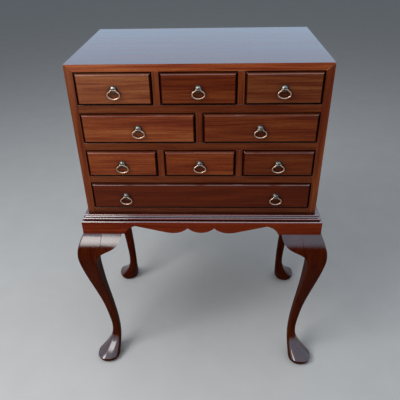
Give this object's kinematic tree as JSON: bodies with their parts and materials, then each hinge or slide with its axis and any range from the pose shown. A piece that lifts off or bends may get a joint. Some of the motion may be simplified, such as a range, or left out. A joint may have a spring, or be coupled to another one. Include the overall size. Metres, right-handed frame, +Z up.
{
  "type": "silver chest on stand",
  "caption": "Low chest of small drawers for table silver, with drop bail pulls, standing on a moulded stand with a scalloped apron and cabriole legs with pad feet.",
  "frame": {"origin": "on the floor under the middle of the stand", "axes": "+Z up, drawers open towards -Y, +X to the right of someone facing the drawers"},
  "size_m": [0.642, 0.434, 0.89],
  "materials": {
    "mahogany": "semi-gloss",
    "mahogany_figured": "semi-gloss",
    "secondary_wood": "matte",
    "aged_brass": "aged satin",
    "bail_brass": "aged satin"
  },
  "bodies": {
    "chest_and_stand": {"apron_back": "mahogany", "apron_front": "mahogany", "apron_left": "mahogany", "apron_right": "mahogany", "carcase_back": "secondary_wood", "carcase_bottom": "secondary_wood", "carcase_side_left": "mahogany", "carcase_side_right": "mahogany", "carcase_top": "mahogany", "corner_blocks": "secondary_wood", "drawer_dividers": "mahogany", "drawer_runners": "secondary_wood", "drawer_stops": "secondary_wood", "knee_brackets": "mahogany", "leg_back_left": "mahogany", "leg_back_right": "mahogany", "leg_front_left": "mahogany", "leg_front_right": "mahogany", "rail_lower": "mahogany", "rail_middle": "mahogany", "rail_upper": "mahogany", "stand_moulding": "mahogany"},
    "drawer_one_left": {"front_one_left": "mahogany_figured", "box_one_left": "secondary_wood", "pull_one_left": "aged_brass"},
    "bail_one_left": {"bail_one_left": "bail_brass"},
    "drawer_one_middle": {"front_one_middle": "mahogany_figured", "box_one_middle": "secondary_wood", "pull_one_middle": "aged_brass"},
    "bail_one_middle": {"bail_one_middle": "bail_brass"},
    "drawer_one_right": {"front_one_right": "mahogany_figured", "box_one_right": "secondary_wood", "pull_one_right": "aged_brass"},
    "bail_one_right": {"bail_one_right": "bail_brass"},
    "drawer_two_left": {"front_two_left": "mahogany_figured", "box_two_left": "secondary_wood", "pull_two_left": "aged_brass"},
    "bail_two_left": {"bail_two_left": "bail_brass"},
    "drawer_two_right": {"front_two_right": "mahogany_figured", "box_two_right": "secondary_wood", "pull_two_right": "aged_brass"},
    "bail_two_right": {"bail_two_right": "bail_brass"},
    "drawer_three_left": {"front_three_left": "mahogany_figured", "box_three_left": "secondary_wood", "pull_three_left": "aged_brass"},
    "bail_three_left": {"bail_three_left": "bail_brass"},
    "drawer_three_middle": {"front_three_middle": "mahogany_figured", "box_three_middle": "secondary_wood", "pull_three_middle": "aged_brass"},
    "bail_three_middle": {"bail_three_middle": "bail_brass"},
    "drawer_three_right": {"front_three_right": "mahogany_figured", "box_three_right": "secondary_wood", "pull_three_right": "aged_brass"},
    "bail_three_right": {"bail_three_right": "bail_brass"},
    "drawer_four": {"front_four": "mahogany_figured", "box_four": "secondary_wood", "pull_four": "aged_brass"},
    "bail_four_left": {"bail_four_left": "bail_brass"},
    "bail_four_right": {"bail_four_right": "bail_brass"}
  },
  "joints": [
    {"name": "drawer_one_left_slide", "type": "slide", "parent": "chest_and_stand", "child": "drawer_one_left", "axis": [0, -1, 0], "range_m": [0, 0.24]},
    {"name": "bail_one_left_swing", "type": "hinge", "parent": "drawer_one_left", "child": "bail_one_left", "pos_m": [-0.17967, -0.1859, 0.838], "axis": [-1, 0, 0], "range_deg": [-11, 191]},
    {"name": "drawer_one_middle_slide", "type": "slide", "parent": "chest_and_stand", "child": "drawer_one_middle", "axis": [0, -1, 0], "range_m": [0, 0.24]},
    {"name": "bail_one_middle_swing", "type": "hinge", "parent": "drawer_one_middle", "child": "bail_one_middle", "pos_m": [0, -0.1859, 0.838], "axis": [-1, 0, 0], "range_deg": [-11, 191]},
    {"name": "drawer_one_right_slide", "type": "slide", "parent": "chest_and_stand", "child": "drawer_one_right", "axis": [0, -1, 0], "range_m": [0, 0.24]},
    {"name": "bail_one_right_swing", "type": "hinge", "parent": "drawer_one_right", "child": "bail_one_right", "pos_m": [0.17967, -0.1859, 0.838], "axis": [-1, 0, 0], "range_deg": [-11, 191]},
    {"name": "drawer_two_left_slide", "type": "slide", "parent": "chest_and_stand", "child": "drawer_two_left", "axis": [0, -1, 0], "range_m": [0, 0.24]},
    {"name": "bail_two_left_swing", "type": "hinge", "parent": "drawer_two_left", "child": "bail_two_left", "pos_m": [-0.13475, -0.1859, 0.7485], "axis": [-1, 0, 0], "range_deg": [-11, 191]},
    {"name": "drawer_two_right_slide", "type": "slide", "parent": "chest_and_stand", "child": "drawer_two_right", "axis": [0, -1, 0], "range_m": [0, 0.24]},
    {"name": "bail_two_right_swing", "type": "hinge", "parent": "drawer_two_right", "child": "bail_two_right", "pos_m": [0.13475, -0.1859, 0.7485], "axis": [-1, 0, 0], "range_deg": [-11, 191]},
    {"name": "drawer_three_left_slide", "type": "slide", "parent": "chest_and_stand", "child": "drawer_three_left", "axis": [0, -1, 0], "range_m": [0, 0.24]},
    {"name": "bail_three_left_swing", "type": "hinge", "parent": "drawer_three_left", "child": "bail_three_left", "pos_m": [-0.17967, -0.1859, 0.6615], "axis": [-1, 0, 0], "range_deg": [-11, 191]},
    {"name": "drawer_three_middle_slide", "type": "slide", "parent": "chest_and_stand", "child": "drawer_three_middle", "axis": [0, -1, 0], "range_m": [0, 0.24]},
    {"name": "bail_three_middle_swing", "type": "hinge", "parent": "drawer_three_middle", "child": "bail_three_middle", "pos_m": [0, -0.1859, 0.6615], "axis": [-1, 0, 0], "range_deg": [-11, 191]},
    {"name": "drawer_three_right_slide", "type": "slide", "parent": "chest_and_stand", "child": "drawer_three_right", "axis": [0, -1, 0], "range_m": [0, 0.24]},
    {"name": "bail_three_right_swing", "type": "hinge", "parent": "drawer_three_right", "child": "bail_three_right", "pos_m": [0.17967, -0.1859, 0.6615], "axis": [-1, 0, 0], "range_deg": [-11, 191]},
    {"name": "drawer_four_slide", "type": "slide", "parent": "chest_and_stand", "child": "drawer_four", "axis": [0, -1, 0], "range_m": [0, 0.24]},
    {"name": "bail_four_left_swing", "type": "hinge", "parent": "drawer_four", "child": "bail_four_left", "pos_m": [-0.17967, -0.1859, 0.5745], "axis": [-1, 0, 0], "range_deg": [-11, 191]},
    {"name": "bail_four_right_swing", "type": "hinge", "parent": "drawer_four", "child": "bail_four_right", "pos_m": [0.17967, -0.1859, 0.5745], "axis": [-1, 0, 0], "range_deg": [-11, 191]}
  ]
}
